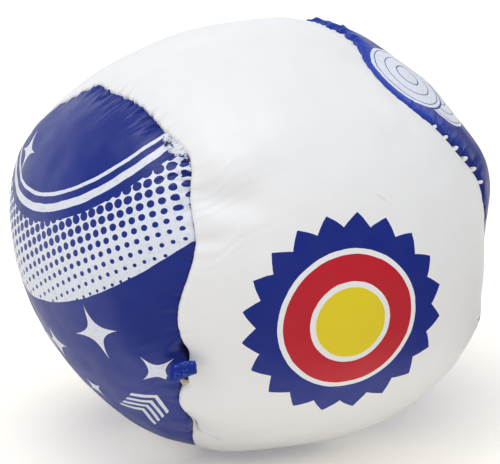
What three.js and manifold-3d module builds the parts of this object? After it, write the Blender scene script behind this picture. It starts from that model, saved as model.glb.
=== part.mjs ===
// Footbag: a hand-size kicking ball of two coated-cloth panels, one white and one blue,
// sewn edge to edge like the cover of a tennis ball and filled with loose plastic pellets.
// Millimetres and degrees, +Z up. The origin is the middle of the box at the pressed base,
// +X runs along the longest side and -Y is the side with the hand-closed stretch of seam.
import * as THREE from 'three';
import { mergeVertices } from 'three/addons/utils/BufferGeometryUtils.js';
import Module from 'manifold-3d';

const wasm = await Module();
wasm.setup();

// The stuffed form: half lengths of the round body before its own weight presses the base flat
const halfLength = 28.0;
const halfDepth = 26.6;
const halfHeight = 24.3;
const centreHeight = 23.7;
const formTilt = 15;
const sideOffset = 0.5;

// Cover: a coated skin on a knitted backing, both turned in along the seam
const skinThickness = 0.6;
const backingGap = 0.3;
const backingThickness = 0.35;
const fillGap = 0.3;
const innerFoldRadius = 0.1;
const seamAllowance = 3.0;
const seamGap = 0.3;
const seamDip = 0.9;
const seamDipReach = 4.5;
const shoulderSpan = 1.6;

// Threads
const threadRadius = 0.16;
const threadClearance = 0.1;
const needleDepth = 0.3;
const knotRadius = 0.3;

// The tuck: spare cloth of the blue panel, rolled up over the seam where it was closed by hand.
// It reaches over the white edge and has its root on the blue panel.
const tuckRadius = 1.1;
const tuckOverhang = 1.5;
const tuckRoot = 3.8;
const tuckClearance = 0.3;

// Counts and angles. Columns run across the cover from seam to seam and are a multiple of 8.
const columnCount = 72;
const stitchesPerColumn = 2;
const skinFoldSteps = 3;
const innerFoldSteps = 2;
const threadSides = 4;
const tuckSides = 12;
const closingStitches = 8;
const seamTurn = -15;
const seamLean = 10.6;
const seamLeanToward = -133;
const laneReach = 112;
const closingStart = 266;
const closingEnd = 292;
const tuckPlace = 273;
const tuckTilt = 14;
const tuckSwing = 16;

// How far the seam swings from the middle: the waist of a panel against its lobes
const seamSwingShare = 0.256;

// Places across a panel, as shares of the way from its middle lane to the seam. The layers
// under the skins have fewer.
const skinRowShares = [0, 0.18, 0.36, 0.52, 0.66];
const innerRowShares = [0, 0.36, 0.66];

// Bulges and dents of the hand-stuffed form: azimuth, elevation and spread in degrees,
// height as a share of the half height
const lumpShares = [
  { azimuth: 36, elevation: 58, spread: 24, heightShare: 0.053 },
  { azimuth: 149, elevation: 54, spread: 24, heightShare: -0.053 },
  { azimuth: -144, elevation: -58, spread: 20, heightShare: 0.037 },
  { azimuth: -2, elevation: -5, spread: 12, heightShare: -0.062 },
  { azimuth: -52, elevation: -65, spread: 14, heightShare: -0.021 },
  { azimuth: 178, elevation: 12, spread: 18, heightShare: 0.016 },
  { azimuth: 12, elevation: 24, spread: 16, heightShare: 0.045 },
  { azimuth: -168, elevation: -12, spread: 10, heightShare: -0.012 },
];

// Where the seam strays from its even run: place round the seam, push towards the blue panel
// and spread, all in degrees
const seamDrifts = [
  { place: 5, push: 11, spread: 7 },
  { place: 16, push: 5.5, spread: 8 },
  { place: 42, push: 7, spread: 9 },
  { place: 206, push: 2, spread: 6 },
  { place: 222, push: 2, spread: 8 },
  { place: 243, push: -4.5, spread: 5 },
  { place: 254, push: -2.8, spread: 6 },
  { place: 266, push: 3.6, spread: 6 },
  { place: 279.7, push: 6.3, spread: 6 },
  { place: 285.1, push: 3.7, spread: 5 },
  { place: 294.8, push: 13.6, spread: 7.8 },
];

// Sizes that follow from the ones above
const backingOuter = skinThickness + backingGap;
const backingInner = backingOuter + backingThickness;
const fillOuter = backingInner + fillGap;
const foldRadius = fillOuter + innerFoldRadius;
const halfGap = seamGap / 2;
const rollMiddle = halfGap + foldRadius;
const shoulderWidth = rollMiddle + shoulderSpan;
const meanRadius = (halfLength + halfDepth + halfHeight) / 3;
const mergeDistance = threadClearance / 100;
const threadReach = foldRadius + threadRadius + threadClearance;
const skinFineness = { rowShares: skinRowShares, foldSteps: skinFoldSteps };
const innerFineness = { rowShares: innerRowShares, foldSteps: innerFoldSteps };

const centre = new THREE.Vector3(sideOffset, 0, centreHeight);
const formTurn = new THREE.Quaternion().setFromAxisAngle(new THREE.Vector3(0, 1, 0), radians(formTilt));
const leanAxis = new THREE.Vector3(0, 0, 1).cross(direction(seamLeanToward, 0));
const seamFrame = new THREE.Quaternion()
  .setFromAxisAngle(leanAxis, radians(seamLean))
  .multiply(new THREE.Quaternion().setFromAxisAngle(new THREE.Vector3(0, 0, 1), radians(seamTurn)));

function radians(degrees) {
  return THREE.MathUtils.degToRad(degrees);
}

function direction(azimuth, elevation) {
  const flat = Math.cos(radians(elevation));
  return new THREE.Vector3(
    flat * Math.cos(radians(azimuth)),
    flat * Math.sin(radians(azimuth)),
    Math.sin(radians(elevation)),
  );
}

// A bell curve of an angle, 1 in the middle
function bell(angle, spread) {
  return Math.exp(-((angle / spread) ** 2));
}

// Distance from the centre to the stuffed form's surface in a direction
function formRadius(toward) {
  const turned = toward.clone().applyQuaternion(formTurn.clone().invert());
  turned.divide(new THREE.Vector3(halfLength, halfDepth, halfHeight));
  const lumps = lumpShares.reduce((sum, lump) => {
    const away = THREE.MathUtils.radToDeg(toward.angleTo(direction(lump.azimuth, lump.elevation)));
    return sum + lump.heightShare * bell(away, lump.spread);
  }, 0);
  return 1 / turned.length() + halfHeight * lumps;
}

// The even seam of a two-panel ball, as a direction from the centre
function evenSeam(angle) {
  const main = 1 - seamSwingShare;
  const place = new THREE.Vector3(
    main * Math.cos(angle) + seamSwingShare * Math.cos(3 * angle),
    main * Math.sin(angle) - seamSwingShare * Math.sin(3 * angle),
    2 * Math.sqrt(main * seamSwingShare) * Math.sin(2 * angle),
  );
  return place.normalize().applyQuaternion(seamFrame);
}

// The sewn seam: the even one with its drifts
function seamDirection(angle) {
  const even = evenSeam(angle);
  const step = radians(0.1);
  const ahead = evenSeam(angle + step).sub(evenSeam(angle - step)).normalize();
  const place = THREE.MathUtils.radToDeg(angle);
  const push = seamDrifts.reduce((sum, drift) => {
    const away = THREE.MathUtils.euclideanModulo(place - drift.place + 180, 360) - 180;
    return sum + drift.push * bell(away, drift.spread);
  }, 0);
  const towardBlue = ahead.cross(even);
  return even.addScaledVector(towardBlue, Math.tan(radians(push))).normalize();
}

// The middle lane of a panel: it runs from the end of one lobe over the waist to the other, and
// the two columns that face each other across the panel end at the same point of it
function laneDirection(column, panelSide) {
  const fromLobe = THREE.MathUtils.euclideanModulo(column + (panelSide * columnCount) / 8, columnCount);
  const step = Math.abs(fromLobe - columnCount / 2);
  const reach = -radians(laneReach) * Math.cos((step / columnCount) * 2 * Math.PI);
  const lane = new THREE.Vector3(1, -panelSide, 0).normalize().multiplyScalar(Math.sin(reach));
  lane.z = panelSide * Math.cos(reach);
  return lane.applyQuaternion(seamFrame);
}

// One column of the cover: where the seam is, which way is out, and which way is each panel
function makeColumn(column) {
  const angle = columnAngle(column);
  const out = seamDirection(angle);
  const step = radians(0.1);
  const ahead = seamDirection(angle + step).sub(seamDirection(angle - step)).normalize();
  const towardWhite = out.clone().cross(ahead).normalize();
  const crest = formRadius(out) - seamDip;
  const lanes = { 1: laneDirection(column, 1), [-1]: laneDirection(column, -1) };
  return { out, towardWhite, crest, lanes };
}

function columnAngle(column) {
  return (column / columnCount) * 2 * Math.PI;
}

const columns = Array.from({ length: columnCount }, (_, column) => makeColumn(column));

// The base is pressed flat by the ground, and each layer keeps its thickness there
function pressed(point, depth) {
  point.z = Math.max(point.z, depth);
  return point;
}

// A point on a panel's face, or at a depth under it, a share of the way from the seam to the lane
function facePoint(column, panelSide, share, depth) {
  const lane = column.lanes[panelSide];
  const span = column.out.angleTo(lane);
  const toward = column.out
    .clone()
    .multiplyScalar(Math.sin((1 - share) * span))
    .addScaledVector(lane, Math.sin(share * span))
    .normalize();
  const fromSeam = share * span * meanRadius;
  const dip = seamDip * (1 - share) * Math.exp(-fromSeam / seamDipReach);
  return pressed(toward.multiplyScalar(formRadius(toward) - dip - depth).add(centre), depth);
}

// The share of a column's way from seam to lane that lies a given width from the seam
function shareAt(column, panelSide, width) {
  return width / (column.out.angleTo(column.lanes[panelSide]) * meanRadius);
}

// A point near the seam: a width to the panel's side and a depth below the crest
function seamPoint(column, panelSide, width, depth) {
  return column.out
    .clone()
    .multiplyScalar(column.crest - depth)
    .addScaledVector(column.towardWhite, panelSide * width)
    .add(centre);
}

// The line across a panel from its lane to the raw edge of its seam allowance, at a depth
// under its face. The edge rolls over towards the seam and runs in beside its neighbour.
function panelLine(column, panelSide, depth, edgeDepth, fineness) {
  const line = fineness.rowShares.map((share) => facePoint(column, panelSide, 1 - share, depth));
  line.push(facePoint(column, panelSide, shareAt(column, panelSide, shoulderWidth), depth));
  const roll = foldRadius - depth;
  for (let step = 0; step <= fineness.foldSteps; step += 1) {
    const turn = (step / fineness.foldSteps) * radians(90);
    const width = rollMiddle - roll * Math.sin(turn);
    line.push(seamPoint(column, panelSide, width, foldRadius - roll * Math.cos(turn)));
  }
  line.push(seamPoint(column, panelSide, halfGap + depth, edgeDepth));
  return line;
}

// A closed body from the lines of all columns, which meet along the lanes. Each quad is split
// along its shorter diagonal, so that layers which follow each other bend alike.
function bodyFromLines(lines, facing) {
  const rows = lines[0].length;
  const points = lines.flat();
  const indices = [];
  for (let column = 0; column < lines.length; column += 1) {
    const next = (column + 1) % lines.length;
    for (let row = 0; row < rows - 1; row += 1) {
      const here = column * rows + row;
      const beside = next * rows + row;
      const corners = [here, here + 1, beside + 1, beside];
      const [a, b, c, d] = facing > 0 ? corners : corners.reverse();
      if (points[a].distanceTo(points[c]) < points[b].distanceTo(points[d])) {
        indices.push(a, b, c, a, c, d);
      } else {
        indices.push(a, b, d, b, c, d);
      }
    }
  }
  return closedGeometry(points.flatMap((point) => point.toArray()), indices);
}

// Merges the points that fall together, such as the two sides of a lane, and drops the
// triangles that close up with them
function closedGeometry(positions, indices) {
  const loose = new THREE.BufferGeometry();
  loose.setAttribute('position', new THREE.Float32BufferAttribute(positions, 3));
  loose.setIndex(indices);
  const merged = mergeVertices(loose, mergeDistance);
  const index = merged.getIndex().array;
  const kept = [];
  for (let corner = 0; corner < index.length; corner += 3) {
    const [a, b, c] = [index[corner], index[corner + 1], index[corner + 2]];
    if (a !== b && b !== c && c !== a) {
      kept.push(a, b, c);
    }
  }
  merged.setIndex(kept);
  merged.computeVertexNormals();
  return merged;
}

// One layer of a panel between two depths, with its raw edge at the end of the allowance
function layerGeometry(panelSide, outerDepth, innerDepth, fineness) {
  const edgeDepth = foldRadius + seamAllowance;
  const lines = columns.map((column) => {
    const outer = panelLine(column, panelSide, outerDepth, edgeDepth, fineness);
    const inner = panelLine(column, panelSide, innerDepth, edgeDepth, fineness);
    return [...outer, ...inner.reverse()];
  });
  return bodyFromLines(lines, panelSide);
}

function skinGeometry(panelSide) {
  return layerGeometry(panelSide, 0, skinThickness, skinFineness);
}

function backingGeometry(panelSide) {
  return layerGeometry(panelSide, backingOuter, backingInner, innerFineness);
}

// The heap of pellets: it fills the cover and leaves a channel round the turned-in edges
function fillGeometry() {
  const channelDepth = foldRadius + seamAllowance + fillGap;
  const lines = columns.map((column) => {
    const white = panelLine(column, 1, fillOuter, channelDepth, innerFineness);
    const blue = panelLine(column, -1, fillOuter, channelDepth, innerFineness);
    return [...white, ...blue.reverse()];
  });
  return bodyFromLines(lines, 1);
}

// A column between two others, so that threads lie in the groove as the panels form it
function columnAt(place) {
  const start = Math.floor(place) % columnCount;
  const end = (start + 1) % columnCount;
  const along = place - Math.floor(place);
  return {
    out: columns[start].out.clone().lerp(columns[end].out, along),
    towardWhite: columns[start].towardWhite.clone().lerp(columns[end].towardWhite, along),
    crest: THREE.MathUtils.lerp(columns[start].crest, columns[end].crest, along),
  };
}

// How far the needle thread can swing to either side of the groove and stay clear of the panels
function needleSwing() {
  return rollMiddle - Math.sqrt(threadReach ** 2 - (foldRadius - needleDepth) ** 2);
}

// How deep in the groove the bobbin thread fits
function bobbinDepth() {
  return foldRadius - Math.sqrt(Math.max(0, threadReach ** 2 - rollMiddle ** 2));
}

// A closed strand: a small polygon of points round each place along it, capped at both ends
function strandGeometry(places) {
  const positions = [];
  const indices = [];
  places.forEach(({ column, width, depth, girth, stretch }) => {
    for (let side = 0; side < threadSides; side += 1) {
      const turn = (side / threadSides) * 2 * Math.PI;
      const across = width + girth * stretch * Math.cos(turn);
      positions.push(...seamPoint(column, 1, across, depth - girth * Math.sin(turn)).toArray());
    }
  });
  for (let ring = 0; ring < places.length - 1; ring += 1) {
    for (let side = 0; side < threadSides; side += 1) {
      const next = (side + 1) % threadSides;
      const [a, b] = [ring * threadSides + side, ring * threadSides + next];
      indices.push(a, b, b + threadSides, a, b + threadSides, a + threadSides);
    }
  }
  const last = (places.length - 1) * threadSides;
  for (let side = 1; side < threadSides - 1; side += 1) {
    indices.push(0, side + 1, side);
    indices.push(last, last + side, last + side + 1);
  }
  return closedGeometry(positions, indices);
}

function placeOfAngle(degrees) {
  return (degrees / 360) * columnCount;
}

// A thread that swings from panel to panel, two places to a stitch
function swingingThread(startPlace, endPlace, stitches, endRadius) {
  const swing = needleSwing();
  const pitch = (endPlace - startPlace) / (2 * stitches);
  const stepLength = pitch * ((2 * Math.PI * meanRadius) / columnCount);
  const stretch = Math.hypot(stepLength, 2 * swing) / stepLength;
  const places = [];
  for (let half = 0; half <= 2 * stitches; half += 1) {
    const isEnd = half === 0 || half === 2 * stitches;
    places.push({
      column: columnAt(startPlace + half * pitch),
      width: isEnd ? 0 : swing * (half % 2 === 0 ? 1 : -1),
      depth: needleDepth,
      girth: isEnd ? endRadius : threadRadius,
      stretch: isEnd ? 1 : stretch,
    });
  }
  return strandGeometry(places);
}

// The machine's threads run from the end of the hand-closed stretch round to its start
const machineStart = placeOfAngle(closingEnd);
const machineEnd = placeOfAngle(closingStart + 360);
const threadEndShare = 0.5;

function needleThreadGeometry() {
  const start = machineStart + threadEndShare;
  const end = machineEnd - threadEndShare;
  return swingingThread(start, end, Math.round((end - start) * stitchesPerColumn), threadRadius);
}

function bobbinThreadGeometry() {
  const depth = bobbinDepth();
  const places = [];
  for (let place = Math.ceil(machineStart); place <= Math.floor(machineEnd); place += 1) {
    places.push({ column: columnAt(place), width: 0, depth, girth: threadRadius, stretch: 1 });
  }
  return strandGeometry(places);
}

function closingThreadGeometry() {
  const start = placeOfAngle(closingStart) + threadEndShare;
  return swingingThread(start, machineStart - threadEndShare, closingStitches, knotRadius);
}

function toSolid(geometry) {
  const bare = geometry.clone();
  bare.deleteAttribute('normal');
  bare.deleteAttribute('uv');
  const merged = mergeVertices(bare, mergeDistance);
  const vertProperties = new Float32Array(merged.getAttribute('position').array);
  const triVerts = new Uint32Array(merged.getIndex().array);
  return new wasm.Manifold(new wasm.Mesh({ numProp: 3, vertProperties, triVerts }));
}

function fromSolid(solid) {
  const mesh = solid.getMesh();
  const geometry = new THREE.BufferGeometry();
  geometry.setAttribute('position', new THREE.BufferAttribute(new Float32Array(mesh.vertProperties), 3));
  geometry.setIndex(new THREE.BufferAttribute(new Uint32Array(mesh.triVerts), 1));
  geometry.computeVertexNormals();
  return geometry;
}

// The rolled tuck lies across the groove, over the threads and clear of the white edge, and its
// root sinks into the blue skin
function tuckSolid() {
  const column = columnAt(placeOfAngle(tuckPlace));
  const tilt = radians(tuckTilt);
  const out = column.out.clone().normalize();
  const across = column.towardWhite.clone().applyAxisAngle(out, radians(tuckSwing)).normalize();
  const along = across.clone().multiplyScalar(Math.cos(tilt)).addScaledVector(out, Math.sin(tilt));
  const lift = tuckRadius / Math.cos(tilt) + tuckClearance - (needleDepth - threadRadius);
  const middle = (tuckOverhang - tuckRoot) / (2 * Math.cos(tilt));
  const place = seamPoint(column, 1, 0, -lift).addScaledVector(along, middle);
  const straight = (tuckOverhang + tuckRoot) / Math.cos(tilt) - 2 * tuckRadius;
  const roll = new THREE.CapsuleGeometry(tuckRadius, straight, tuckSides / 4, tuckSides);
  roll.applyQuaternion(new THREE.Quaternion().setFromUnitVectors(new THREE.Vector3(0, 1, 0), along));
  roll.translate(...place.toArray());
  return toSolid(roll)
    .subtract(toSolid(layerGeometry(-1, skinThickness / 2, fillOuter, skinFineness)))
    .subtract(toSolid(layerGeometry(1, -tuckClearance, fillOuter, skinFineness)));
}

function bluePanelGeometry() {
  return fromSolid(toSolid(skinGeometry(-1)).add(tuckSolid()));
}

const whiteVinyl = new THREE.MeshStandardMaterial({ color: 0xeeeeef, roughness: 0.42, metalness: 0 });
const blueVinyl = new THREE.MeshStandardMaterial({ color: 0x1f2c76, roughness: 0.38, metalness: 0 });
const knit = new THREE.MeshStandardMaterial({ color: 0xd9cdb8, roughness: 0.95, metalness: 0 });
const polyester = new THREE.MeshStandardMaterial({ color: 0xe9e6df, roughness: 0.7, metalness: 0 });
const pellets = new THREE.MeshStandardMaterial({ color: 0xe4e6ea, roughness: 0.5, metalness: 0 });

const footbag = new THREE.Group();

function addPiece(name, geometry, material) {
  const piece = new THREE.Mesh(geometry, material);
  piece.name = name;
  footbag.add(piece);
}

addPiece('white_panel', skinGeometry(1), whiteVinyl);
addPiece('blue_panel', bluePanelGeometry(), blueVinyl);
addPiece('white_backing', backingGeometry(1), knit);
addPiece('blue_backing', backingGeometry(-1), knit);
addPiece('needle_thread', needleThreadGeometry(), polyester);
addPiece('bobbin_thread', bobbinThreadGeometry(), polyester);
addPiece('closing_thread', closingThreadGeometry(), polyester);
addPiece('pellet_fill', fillGeometry(), pellets);

export default footbag;
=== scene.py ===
# Footbag: the looks of a hand-size kicking ball of two coated-cloth panels, one white and one
# printed blue, sewn edge to edge like the cover of a tennis ball and filled with loose pellets.
# Lengths are in millimetres and angles in degrees. A mesh gets its metres when it is made.
import math

import bmesh
import bpy
import numpy as np
from mathutils import Matrix, Vector


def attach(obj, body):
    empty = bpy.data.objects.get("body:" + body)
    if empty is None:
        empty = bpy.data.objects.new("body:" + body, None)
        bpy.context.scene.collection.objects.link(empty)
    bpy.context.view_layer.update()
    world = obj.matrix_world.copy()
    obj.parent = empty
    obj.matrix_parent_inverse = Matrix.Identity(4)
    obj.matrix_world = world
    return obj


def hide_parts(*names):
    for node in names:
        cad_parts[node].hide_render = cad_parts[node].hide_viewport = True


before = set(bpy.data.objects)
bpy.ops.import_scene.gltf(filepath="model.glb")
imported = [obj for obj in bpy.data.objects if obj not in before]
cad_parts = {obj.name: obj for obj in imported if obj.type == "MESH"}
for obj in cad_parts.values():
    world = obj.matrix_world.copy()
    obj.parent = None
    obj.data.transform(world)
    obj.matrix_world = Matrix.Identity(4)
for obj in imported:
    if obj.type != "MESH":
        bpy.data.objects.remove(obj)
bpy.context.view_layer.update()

MM = 0.001
WHITE = 1
BLUE = -1
TURN = 2 * math.pi
HALF_TURN = 180

# The stuffed form: half lengths of the round body before its own weight presses the base flat.
# The pressed base is rounded at its rim and settles by a small share of that rounding.
HALF_SIZES = np.array([28.0, 26.6, 24.3])
HALF_HEIGHT = HALF_SIZES[2]
MEAN_RADIUS = HALF_SIZES.mean()
CENTRE = np.array([0.5, 0, 23.7])
FORM_TILT = 15
PRESS_ROUNDING = 0.35
PRESS_SETTLING_SHARE = 1 / 60

# Bulges and dents of the hand-stuffed form: azimuth, elevation, spread, height as a share of the
# half height
LUMP_SHARES = [
    (36, 58, 24, 0.053),
    (149, 54, 24, -0.053),
    (-144, -58, 20, 0.037),
    (-2, -5, 12, -0.062),
    (-52, -65, 14, -0.021),
    (178, 12, 18, 0.016),
    (12, 24, 16, 0.045),
    (-168, -12, 10, -0.012),
    (173, 19, 9, 0.018),
    (164, 37, 8, -0.014),
    (104, 69, 9, -0.012),
    (11, 28, 8, -0.016),
    (5, 14, 7, 0.014),
    (-3, -9, 8, -0.018),
    (-7, -19, 6, 0.014),
    (-26, -50, 12, -0.014),
    (180, 0, 8, -0.01),
    (-104, -56, 9, 0.014),
    (-176, 29, 6, 0.015),
]

# The seam: how far it swings from panel to panel, how it is turned in the ball, and where its
# crest dips. What changes along the seam is a value for all of it, then stretches that have more
# or less: place round the seam, spread, amount.
SEAM_SWING_SHARE = 0.256
SEAM_TURN = -15
SEAM_LEAN = 10.6
SEAM_LEAN_TOWARD = -133
SEAM_DIP = (0.9, [(50, 12, -0.6), (5, 11, -0.3), (345, 14, -0.45), (203, 14, -0.45), (295, 7, -0.7)])
SEAM_DIP_REACH = 4.5
LANE_REACH = 112
STITCH_COUNT = 144

# Where the hand-sewn seam strays from its even run, in degrees towards the blue panel
SEAM_DRIFT = (
    0,
    [
        (5, 7, 11),
        (16, 8, 5.5),
        (37, 4, 0.8),
        (42, 9, 7),
        (206, 6, 2),
        (214.5, 3, -1.5),
        (222, 8, 2),
        (243, 5, -4.5),
        (254, 6, -2.8),
        (266, 6, 3.6),
        (279.7, 6, 6.3),
        (285, 2.5, -0.3),
        (285.1, 5, 3.7),
        (294.8, 7.8, 13.6),
        (296.5, 2.7, 2.9),
    ],
)

# A short way along the seam, over which its direction is measured
PROBE = math.radians(0.1)

# Cover: a coated skin with its knitted backing bonded to it, both rolled in along the seam. A
# layer's steps are for each stitch, its rows from the middle lane to the roll and round the roll.
SKIN_THICKNESS = 0.5
BACKING_GAP = 0.06
BACKING_THICKNESS = 0.3
FOLD_RADIUS = 0.68
LEAST_ROLL = 0.06
HALF_GAP = 0.07
SEAM_ALLOWANCE = 3.0
SQUARE_REACH = 6.0
ROW_GROWTH = 1.055
COVER_STEPS = 10
COVER_ROWS = ((38, 9), (10, 4))
KNIT_STEPS = 5
KNIT_ROWS = ((16, 5), (8, 3))
SEWN_DISTANCE = 0.001

# How relief fades below the cover's face, what is left of it deep down, and how much sooner than
# the middle lane it ends
DETAIL_DEPTH = 0.35
DEEP_SLIDE_SHARE = 0.35
DEEP_LIFT_SHARE = 0.3
LANE_FADE = 4


def unit(vectors):
    return vectors / np.linalg.norm(vectors, axis=-1, keepdims=True)


def direction(azimuth, elevation):
    azimuth, elevation = math.radians(azimuth), math.radians(elevation)
    flat = math.cos(elevation)
    return np.array([flat * math.cos(azimuth), flat * math.sin(azimuth), math.sin(elevation)])


def turn(axis, degrees):
    return np.array(Matrix.Rotation(math.radians(degrees), 3, Vector(axis)))


def bell(distance, spread):
    return np.exp(-((distance / spread) ** 2))


def smooth_step(value):
    held = np.clip(value, 0, 1)
    return held * held * (3 - 2 * held)


def place_gap(place, other):
    """The way round the seam from one place to another, in degrees, from -180 to 180."""
    return (place - other + HALF_TURN) % (2 * HALF_TURN) - HALF_TURN


def zoned(place, zones):
    """A value along the seam: what all of it has, and what single stretches have on top."""
    base, stretches = zones
    extra = sum(amount * bell(place_gap(place, middle), spread) for middle, spread, amount in stretches)
    return np.full_like(place, base) + extra


FORM_TURN = turn((0, 1, 0), FORM_TILT)
LEAN_AXIS = np.cross((0, 0, 1), direction(SEAM_LEAN_TOWARD, 0))
SEAM_FRAME = turn(LEAN_AXIS, SEAM_LEAN) @ turn((0, 0, 1), SEAM_TURN)


def form_radius(toward):
    """Distance from the centre to the stuffed form's surface, for an array of directions."""
    radius = 1 / np.linalg.norm(toward @ FORM_TURN / HALF_SIZES, axis=-1)
    for azimuth, elevation, spread, height_share in LUMP_SHARES:
        away = np.degrees(np.arccos(np.clip(toward @ direction(azimuth, elevation), -1, 1)))
        radius = radius + HALF_HEIGHT * height_share * bell(away, spread)
    return radius


def even_seam(angle):
    """The seam without its drifts: a wave round the ball that swings from pole to pole."""
    main = 1 - SEAM_SWING_SHARE
    swing = SEAM_SWING_SHARE
    rise = 2 * math.sqrt(main * swing)
    across = main * np.cos(angle) + swing * np.cos(3 * angle)
    along = main * np.sin(angle) - swing * np.sin(3 * angle)
    return unit(np.stack([across, along, rise * np.sin(2 * angle)], -1)) @ SEAM_FRAME.T


def seam_direction(angle):
    even = even_seam(angle)
    ahead = unit(even_seam(angle + PROBE) - even_seam(angle - PROBE))
    drift = np.radians(zoned(np.degrees(angle), SEAM_DRIFT))
    return unit(even + np.cross(ahead, even) * np.tan(drift)[:, None])


def lane_direction(count, side):
    """The middle lane of a panel, from the end of one lobe over the waist to the other. The two
    columns that face each other across the panel end at the same point of it."""
    step = np.abs((np.arange(count) + side * count // 8) % count - count // 2)
    reach = -math.radians(LANE_REACH) * np.cos(step / count * TURN)
    flat = np.sin(reach) / math.sqrt(2)
    return np.stack([flat, -side * flat, side * np.cos(reach)], -1) @ SEAM_FRAME.T


class Seam:
    """The seam at places round the ball, with the way from it to the white panel."""

    def __init__(self, places):
        self.place = places
        self.angle = np.radians(places)
        self.stitch = places / (2 * HALF_TURN) * STITCH_COUNT
        self.out = seam_direction(self.angle)
        self.ahead = unit(seam_direction(self.angle + PROBE) - seam_direction(self.angle - PROBE))
        self.toward_white = unit(np.cross(self.out, self.ahead))
        self.dip = zoned(places, SEAM_DIP)
        self.crest = form_radius(self.out) - self.dip

    def turn_to(self, side):
        """Takes a panel's side, with the way to its middle lane. The places are even steps."""
        lane = lane_direction(len(self.angle), side)
        cosine = (self.out * lane).sum(-1)
        self.side = side
        self.span = np.arccos(cosine) * MEAN_RADIUS
        self.toward_lane = unit(lane - self.out * cosine[:, None])

    def point(self, row, across, height):
        """A point by one place of the seam: a way towards the white panel and one out of the
        folds' crest."""
        toward = self.out[row] * (self.crest[row] + height) + self.toward_white[row] * across
        return CENTRE + toward


def even_places(count):
    return np.arange(count) / count * 2 * HALF_TURN


# Seam relief: what the stitches and the closing by hand do to each panel's edge. It gapes away
# from the seam, is notched by each stitch and ruffled between stitches. The step is how much
# higher the white edge stands than the seam, and the blue one lower.
GAPE = {
    WHITE: (
        -0.28,
        [
            (10, 14, 0.14),
            (222, 17, -0.2),
            (271, 1.4, 0.3),
            (276, 1.1, 0.75),
            (286, 2.4, 0.4),
            (291, 2, -0.2),
        ],
    ),
    BLUE: (-0.28, [(10, 9, 0.42), (222, 17, -0.2), (271, 1.5, 1.9), (286, 2.4, -0.4), (291, 2, 0.3)]),
}
NOTCH = {
    WHITE: (0.04, [(222, 16, 0.2), (48, 10, 0.14)]),
    BLUE: (
        0.12,
        [(10, 8, 0.24), (31, 9, -0.13), (48, 9, 0.34), (222, 16, 0.2), (100, 30, 0.12), (170, 25, 0.12)],
    ),
}
RUFFLE = {
    WHITE: (0.02, [(222, 15, 0.14), (48, 8, 0.25)]),
    BLUE: (0.03, [(48, 8, 0.55), (14, 8, 0.16), (222, 15, 0.2), (242, 5, 0.34), (150, 20, 0.1)]),
}
STEP = (
    0.1,
    [
        (222, 17, -0.04),
        (241, 5, 0.16),
        (262, 9, 0.16),
        (274, 6, 0.2),
        (286, 3, -0.36),
        (10, 14, -0.26),
        (47, 12, -0.32),
    ],
)
EDGE_REACH = 1.5
STEP_REACH = 2.4
NOTCH_WIDTH_SHARE = 0.17
NOTCH_SLIDE_SHARE = 0.8
NOTCH_CHANCE_SHARE = 0.3
NOTCH_SEED = 10
RUFFLE_RISE_SHARE = 0.6
RUFFLE_PITCHES = (0.7, 0.95)
RUFFLE_SEEDS = (20, 30)
SEAM_LENGTH_SHARE = 1.63
RIPPLE_SHARES = (0.62, 0.81, 1.0, 1.23, 1.51)

# Puckers that run out from the seam: side, place, spread, height, reach, pitch
PUCKERS = [
    (BLUE, 228, 14, 0.07, 1.6, 1.0),
    (BLUE, 243, 6, 0.16, 2.2, 1.2),
    (WHITE, 253, 8, 0.045, 7.0, 1.4),
    (WHITE, 230, 12, 0.03, 1.6, 0.9),
    (BLUE, 50, 9, 0.09, 1.5, 0.9),
    (BLUE, 10, 14, 0.08, 1.5, 1.2),
    (BLUE, 272, 8, 0.08, 3.0, 1.9),
    (WHITE, 290, 8, 0.05, 3.5, 2.2),
    (WHITE, 120, 30, 0.05, 3.0, 1.9),
    (BLUE, 120, 30, 0.07, 3.0, 1.9),
]
PUCKER_SEED = 40

# Folds and dents pressed into the faces: azimuth and elevation of both ends, width, height
FOLDS = [
    (-104, 28, -93, 27.4, 1.8, -0.6),
    (-103, 38.5, -94, 37, 2.6, 0.42),
    (-103.5, 17.7, -98, 18.2, 0.9, -0.25),
    (-110.1, -38.0, -110.9, -43.4, 0.3, -0.5),
    (-110.9, -43.4, -104.3, -45.6, 0.32, -0.5),
    (-110.5, 26.5, -108.5, 24.5, 0.5, -0.35),
    (-116, -29.5, -113, -30.5, 0.45, -0.14),
    (-107, -12, -102, -15, 1.5, -0.4),
    (-56.1, 26.6, -53.4, 23.9, 0.12, -0.05),
]

# Soft unevenness of the stuffed faces: size of its waves, height
FACE_WAVES = ((9.0, 0.09), (3.5, 0.03))
WAVE_SPREAD_SHARES = (0.7, 1.4)
WAVE_COUNT = 9
FACE_SEED = 3


def seam_ripple(angle, pitch, seed):
    """An uneven wave round the seam with crests about a pitch apart, mostly from -1 to 1."""
    rng = np.random.default_rng(seed)
    seam_length = SEAM_LENGTH_SHARE * TURN * MEAN_RADIUS
    wave = np.zeros_like(angle)
    for share in RIPPLE_SHARES:
        cycles = round(seam_length / pitch * share)
        wave += np.sin(cycles * angle + rng.uniform(0, TURN))
    return wave / math.sqrt(len(RIPPLE_SHARES))


def face_waves(toward, size, seed):
    """Soft unevenness over the whole ball with waves about a size long."""
    rng = np.random.default_rng(seed)
    height = np.zeros(toward.shape[:-1])
    for _ in range(WAVE_COUNT):
        heading = unit(rng.normal(size=3)) * TURN * MEAN_RADIUS / size * rng.uniform(*WAVE_SPREAD_SHARES)
        height += np.sin(toward @ heading + rng.uniform(0, TURN))
    return height / math.sqrt(WAVE_COUNT)


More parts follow.
